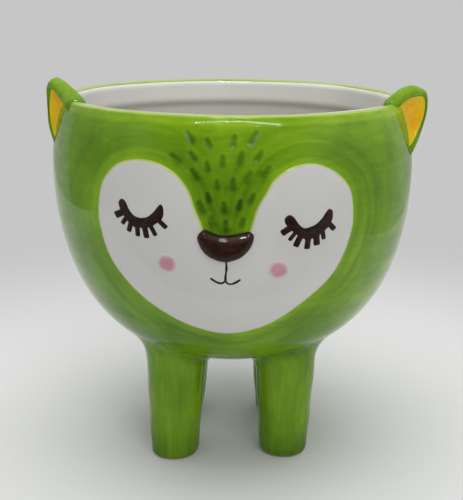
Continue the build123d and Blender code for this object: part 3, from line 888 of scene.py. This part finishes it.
def leg_points(foot, join, seed):
    """A leg's rings from its vent, over its sole and up into the bowl."""
    wobble = 1 + 0.010 * np.sin(2 * leg_angles + seed) + 0.006 * np.sin(3 * leg_angles + 2 * seed)
    rings = [(0.05, VENT_DEPTH), (VENT_RADIUS, VENT_DEPTH), (VENT_RADIUS, VENT_BEVEL)]
    rings += [(VENT_RADIUS + VENT_BEVEL, 0.0)]
    corner = LEG_SOLE_RADIUS - LEG_ROUNDING
    rings += [(corner * s, 0.0) for s in (0.5, 0.8, 0.97)]
    for t in np.linspace(0, math.pi / 2, 9):
        rings.append((corner + LEG_ROUNDING * math.sin(t), LEG_ROUNDING * (1 - math.cos(t))))
    rows = [leg_ring(foot, r * wobble, z) for r, z in rings]
    for z in np.r_[np.arange(3.0, LEG_FREE, 1.1), np.arange(LEG_FREE, LEG_TOP, 0.3)]:
        middle = foot + (join - foot) * min(z / LEG_JOIN, 1)
        base = (LEG_SOLE_RADIUS + LEG_TAPER * z) * wobble + 0.12 * np.sin(0.35 * z + leg_angles + seed)
        if z > LEG_FREE:
            low, high = base - 0.2, base + LEG_BLEND + 1
            for _ in range(14):
                half = (low + high) / 2
                away = clearance(leg_ring(middle, half, z)) + 0.04
                free = smooth_union(half - base, away, LEG_BLEND) > 0
                low, high = np.where(free, low, half), np.where(free, half, high)
            base = high
        row = leg_ring(middle, base, z)
        out = np.hypot(row[:, 0], row[:, 1])
        ceiling = np.interp(out, OUTER[:WIDEST_ROW, 0], OUTER[:WIDEST_ROW, 1]) + LEG_SINK
        row[:, 2] = np.minimum(z, ceiling)
        rows.append(row)
    return np.array(rows)


def closed_rows(rows):
    """Points and faces of rings that are closed at both ends."""
    rows = np.array(rows)
    points, turns = rows.reshape(-1, 3), rows.shape[1]
    faces = [list(f) for f in grid_faces(len(rows), turns)]
    return points, faces + [list(range(turns)), list(range(len(points) - turns, len(points)))]


for number, (name, (sides, foot, join, light)) in enumerate(LEGS.items()):
    even = np.array(sides) * (LEG_X, LEG_Y)
    points, faces = closed_rows(leg_points(even + foot, even + join, 1.7 * number + 0.4))
    height = points[:, 2]
    tone = light + sum(amount * where for amount, where in (
        (0.05, smoothstep(14, 30, height)),  # up the leg
        (-0.2, smoothstep(16, 2, height)),  # at the sole
        (-0.16, smoothstep(5, 0.5, clearance(points)))))  # at the bowl
    bare = np.where(height > 0.05, 1 - smoothstep(0.5, 1.1, height), 1.0)
    make(name + "_glazed", points, faces, leg_green, name, "green_glaze", tone=tone, bare=bare)


# Ears

EAR_TURNS = 128
ear_angles = np.linspace(0, 2 * math.pi, EAR_TURNS, endpoint=False)


def reach(outline, centre):
    """How far an outline is from the ear's centre, all the way round."""
    line = through(outline, True, 16) - centre
    angle = np.arctan2(line[:, 1], line[:, 0]) % (2 * math.pi)
    order = np.argsort(angle)
    return np.interp(ear_angles, angle[order], np.hypot(*line.T)[order], period=2 * math.pi)


def ear_ring(ear, radius, ahead):
    """A ring of an ear in the pot's frame."""
    sign, place, turn = ear["sign"], math.radians(EAR_ROUND_BOWL), math.radians(ear["look"])
    middle = np.array([sign * EAR_OUT * math.sin(place), -EAR_OUT * math.cos(place), EAR_UP])
    outward = np.array([sign * math.cos(turn), math.sin(turn), 0])
    facing = np.array([sign * math.sin(turn), -math.cos(turn), 0])
    drift = ear["drift"] * np.maximum(-ahead - EAR_BACK_FROM, 0)
    u = ear["centre"][0] + radius * np.cos(ear_angles) + drift
    w = ear["centre"][1] + radius * np.sin(ear_angles)
    return middle + u[:, None] * outward + w[:, None] * (0, 0, 1) + ahead[:, None] * facing


for word, ear in EARS.items():
    outer, field = reach(ear["outline"], ear["centre"]), reach(ear["field"], ear["centre"])
    gap = np.maximum(outer - field, EAR_BEAD)
    field = outer - gap
    hollow = through(EAR_HOLLOW, False, EAR_STEPS)
    rings = [(s * field, np.full(EAR_TURNS, ear["depth"] * d)) for s, d in hollow]
    upper = smoothstep(-5, 5, ear["centre"][1] + outer * np.sin(ear_angles))
    bulge = gap * (EAR_BEAD_LOW + (1 - EAR_BEAD_LOW) * upper)
    rings += [(field + m * gap, n * bulge) for m, n in through(EAR_LIP, False, EAR_STEPS)]
    back_end = EAR_LIP[-1][1] * bulge
    rings += [(s * outer, np.minimum(d, back_end)) for s, d in through(EAR_BACK, False, EAR_STEPS)]
    rows = np.array([ear_ring(ear, radius, ahead) for radius, ahead in rings])
    points, faces = closed_rows(rows)
    out = np.cross(np.gradient(rows, axis=0), np.roll(rows, -1, 1) - np.roll(rows, 1, 1))
    out /= np.maximum(np.linalg.norm(out, axis=2), 1e-9)[..., None]
    back = len(hollow) + EAR_STEPS * len(EAR_LIP)
    if (out[back] * (rows[back] - rows[back].mean(0))).sum() < 0:
        out = -out
    near = clearance(points)
    flare = EAR_FLARE * (EAR_BLEND - np.clip(near, 0, EAR_BLEND)) ** 2 / EAR_BLEND
    flare *= smoothstep(EAR_UP - 6, EAR_UP + 6, points[:, 2])
    flare[: (len(hollow) + 2 * EAR_STEPS) * EAR_TURNS] = 0  # none on the hollow or the bead's inner side
    points = points + out.reshape(-1, 3) * flare[:, None]
    radius = np.hypot(points[:, 0], points[:, 1])
    wall = radius_at(points[:, 2]) - WALL / 2
    sunk = (points[:, 2] < RIM - 1.2) & (radius < wall)
    points[sunk, :2] *= (wall / radius)[sunk, None]
    tone = EAR_TONE + sum(amount * where for amount, where in (
        (0.1, smoothstep(148, 157, points[:, 2])),  # at the tip
        (-0.05, smoothstep(3, 0.3, near)),  # at the bowl
        # painted shade along the bead's narrow outer edge, which faces away from the light
        (-0.18, np.tile(smoothstep(2.6, 1.2, gap), len(rows)))))  # where the bead is narrow
    make(word + "_ear_glazed", points, faces, ear_green, word + "_ear", "green_glaze", tone=tone)
    steps = [(s, d, LINING_LIFT) for s, d in hollow] + [(s, d, -LINING_SINK) for s, d in hollow[::-1]]
    points, faces = closed_rows([
        ear_ring(ear, LINING_SHARE * s * field, np.full(EAR_TURNS, ear["depth"] * d + lift))
        for s, d, lift in steps])
    share = np.repeat([s for s, _, _ in steps], EAR_TURNS)
    rim = np.maximum(smoothstep(0.8, 1.0, share), smoothstep(1.7, 0.2, clearance(points)))
    make(word + "_ear_hollow", points, faces, ear_amber, word + "_ear_lining", "amber_glaze", rim=rim)


# Floor, light and camera


def sheet(name, corners, material):
    """A flat stage piece of four sided faces."""
    mesh = bpy.data.meshes.new(name)
    mesh.from_pydata(corners, [], [tuple(range(i, i + 4)) for i in range(0, len(corners), 4)])
    mesh.materials.append(material)
    piece = bpy.data.objects.new(name, mesh)
    bpy.context.scene.collection.objects.link(piece)
    return piece


def oblong(x0, x1, y0, y1):
    return [(x0, y0, 0), (x1, y0, 0), (x1, y1, 0), (x0, y1, 0)]


def grey(level):
    return level, level, level


PAPER_LEFT, PAPER_RIGHT, PAPER_FRONT, PAPER_BACK = -0.42, 0.29, -0.12, 1.6
TABLE = 6.0
BACKDROP = (0.565, 0.565, 0.57)
FADE_FROM, FADE_TO = 0.10, 0.36
FLOOR_STOPS = ((0.3, grey(0.75)), (0.7, grey(0.77)))
# FLOOR_MIRRORED paints shade: a gloss sees a darker floor in front of the pot
FLOOR_MIRRORED = grey(0.3)  # what a gloss shows of the floor in front of the pot, mixed half and half
material, tree, shader, place = begin("pale_floor")
floor_colour = ramp(tree, noise(tree, place, 3.0, 2.0), FLOOR_STOPS)
sight = add(tree, "LightPath")
forward = calc(tree, "MULTIPLY", add(tree, "SeparateXYZ", {0: place}).outputs[1], -1.0)
ahead = blur(tree, forward, -0.05, 0.05, 0.0, 0.5)
mirrored = calc(tree, "MULTIPLY", sight.outputs["Is Glossy Ray"], ahead)
tree.links.new(blend(tree, mirrored, floor_colour, FLOOR_MIRRORED), shader.inputs["Base Color"])
shader.inputs["Roughness"].default_value = 0.7
shader.inputs["Specular IOR Level"].default_value = 0.2
away = add(tree, "VectorMath", {0: place}, operation="LENGTH").outputs["Value"]
plain = add(tree, "Emission", {"Color": (*BACKDROP, 1)}).outputs[0]
faded = calc(tree, "MULTIPLY", blur(tree, away, FADE_FROM, FADE_TO), sight.outputs["Is Camera Ray"])
output = next(n for n in tree.nodes if n.type == "OUTPUT_MATERIAL")
mixed = add(tree, "MixShader", {0: faded, 1: shader.outputs[0], 2: plain}).outputs[0]
tree.links.new(mixed, output.inputs["Surface"])
sheet("paper", oblong(PAPER_LEFT, PAPER_RIGHT, PAPER_FRONT, PAPER_BACK), material)
table = sheet("table", oblong(-TABLE, PAPER_LEFT, -TABLE, TABLE) + oblong(PAPER_RIGHT, TABLE, -TABLE, TABLE)
              + oblong(PAPER_LEFT, PAPER_RIGHT, -TABLE, PAPER_FRONT)
              + oblong(PAPER_LEFT, PAPER_RIGHT, PAPER_BACK, TABLE), material)
table.visible_glossy = False

# The room's light: what falls on a surface, and what a gloss mirrors
FRONT_LIGHT, FRONT_MIRRORED = grey(0.20), 0.06
BACK_LIGHT, BACK_MIRRORED = grey(0.62), grey(0.53)
CEILING_LIGHT, CEILING_MIRRORED = grey(0.85), grey(0.6)
RIGHT_MIRRORED, LEFT_MIRRORED, SIDES_MIRRORED = 0.34, 0.2, 0.26
world = bpy.data.worlds.new("studio")
bpy.context.scene.world = world
world.use_nodes = True
tree = world.node_tree
background = next(n for n in tree.nodes if n.type == "BACKGROUND")
way = add(tree, "TexCoord").outputs["Generated"]
right, back, up = add(tree, "SeparateXYZ", {0: way}).outputs
squares = [calc(tree, "MULTIPLY", part, part) for part in (right, back)]
level = calc(tree, "SQRT", calc(tree, "ADD", *squares))
behind = calc(tree, "DIVIDE", back, calc(tree, "MAXIMUM", level, 0.001))
paper_back = blur(tree, behind, 0.46, 0.56)
ceiling = blur(tree, up, 0.5, 0.8)
path = add(tree, "LightPath")
shiny = path.outputs["Is Glossy Ray"]
raised = blur(tree, up, 0.0, 0.3)
beside = calc(tree, "MULTIPLY", blur(tree, calc(tree, "ABSOLUTE", right), 0.55, 0.9), raised)
window = calc(tree, "MULTIPLY_ADD", blur(tree, right, 0.5, 0.9), RIGHT_MIRRORED, FRONT_MIRRORED)
leftward = blur(tree, calc(tree, "MULTIPLY", right, -1.0), 0.5, 0.9)
window = calc(tree, "MULTIPLY_ADD", leftward, LEFT_MIRRORED, window)
window = calc(tree, "MULTIPLY_ADD", beside, SIDES_MIRRORED, window)
front_room = blend(tree, shiny, FRONT_LIGHT, window)
back_room = blend(tree, shiny, BACK_LIGHT, BACK_MIRRORED)
room = blend(tree, paper_back, front_room, back_room)
room = blend(tree, ceiling, room, blend(tree, shiny, CEILING_LIGHT, CEILING_MIRRORED))
tree.links.new(blend(tree, path.outputs["Is Camera Ray"], room, BACKDROP), background.inputs["Color"])


def lamp(name, kind, place, aim, watts, size):
    """A lamp that looks at aim."""
    data = bpy.data.lights.new(name, kind)
    data.energy = watts
    if kind == "AREA":
        data.shape = "RECTANGLE"
        data.size, data.size_y = size
    else:
        data.shadow_soft_size = size
    piece = bpy.data.objects.new(name, data)
    bpy.context.scene.collection.objects.link(piece)
    piece.location = place
    way = np.array(aim) - np.array(place)
    piece.rotation_euler = (math.atan2(math.hypot(way[0], way[1]), -way[2]), 0, math.atan2(-way[0], way[1]))
    return piece


POT_MIDDLE = (0, 0, 0.1)
lamp("overhead", "AREA", (0.0, -0.1, 1.3), POT_MIDDLE, 7.0, (1.0, 0.9)).visible_glossy = False
lamp("front_fill", "AREA", (0.45, -1.45, 0.9), POT_MIDDLE, 7.8, (1.2, 0.5)).visible_glossy = False

# A row of small lamps for the highlight along the lip
BEADS, BEAD_STEP, BEAD_WATTS, BEAD_SIZE = 23, 0.0444, 0.095, 0.006
BEAD_X, BEAD_Y, BEAD_Z = 0.11, -1.0, 0.641
for number in range(BEADS):
    place = (BEAD_X + BEAD_STEP * (number - BEADS // 2), BEAD_Y, BEAD_Z)
    lamp(f"bead_{number}", "POINT", place, POT_MIDDLE, BEAD_WATTS, BEAD_SIZE).visible_diffuse = False
lamp("strip", "AREA", (0.02, -0.25, 1.15), POT_MIDDLE, 2.6, (0.3, 0.06)).visible_diffuse = False

# A ring of small lamps that only the nose's gloss shows
RING_LAMPS, RING_WATTS, RING_SIZE = 32, 1.1, 0.008
RING_HALF_WIDTH, RING_HALF_HEIGHT = 0.12, 0.2
RING_RISE = math.radians(64)
NOSE_FRONT = np.array((0, -0.08, 0.108))
nose_only = bpy.data.collections.new("nose_only")
nose_only.objects.link(nose_piece)
ring_middle = NOSE_FRONT + np.array((0.0, -math.cos(RING_RISE), math.sin(RING_RISE)))
ring_right = RING_HALF_WIDTH * np.array((1, 0, 0))
ring_up = RING_HALF_HEIGHT * np.array((0, math.sin(RING_RISE), math.cos(RING_RISE)))
for number in range(RING_LAMPS):
    around = 2 * math.pi * number / RING_LAMPS
    spot = ring_middle + math.cos(around) * ring_right + math.sin(around) * ring_up
    glint = lamp(f"ring_{number}", "POINT", spot, NOSE_FRONT, RING_WATTS, RING_SIZE)
    glint.visible_diffuse = False
    glint.light_linking.receiver_collection = nose_only

# The camera that was fitted to the photograph
PHOTO_HEIGHT, SENSOR = 500, 36.0
FOCAL = 955.184  # in pixels of the photograph
CAMERA_PLACE = (0.01349, -0.39977, 0.19357)
CAMERA_PITCH, CAMERA_AZIMUTH = 0.268, math.radians(2.0)
camera = bpy.data.cameras.new("camera")
camera.sensor_width = SENSOR
camera.lens = FOCAL * SENSOR / PHOTO_HEIGHT
viewer = bpy.data.objects.new("camera", camera)
bpy.context.scene.collection.objects.link(viewer)
viewer.location = CAMERA_PLACE
viewer.rotation_euler = (math.radians(90) - CAMERA_PITCH, 0, CAMERA_AZIMUTH)
bpy.context.scene.camera = viewer
bpy.context.scene.view_settings.view_transform = "Standard"
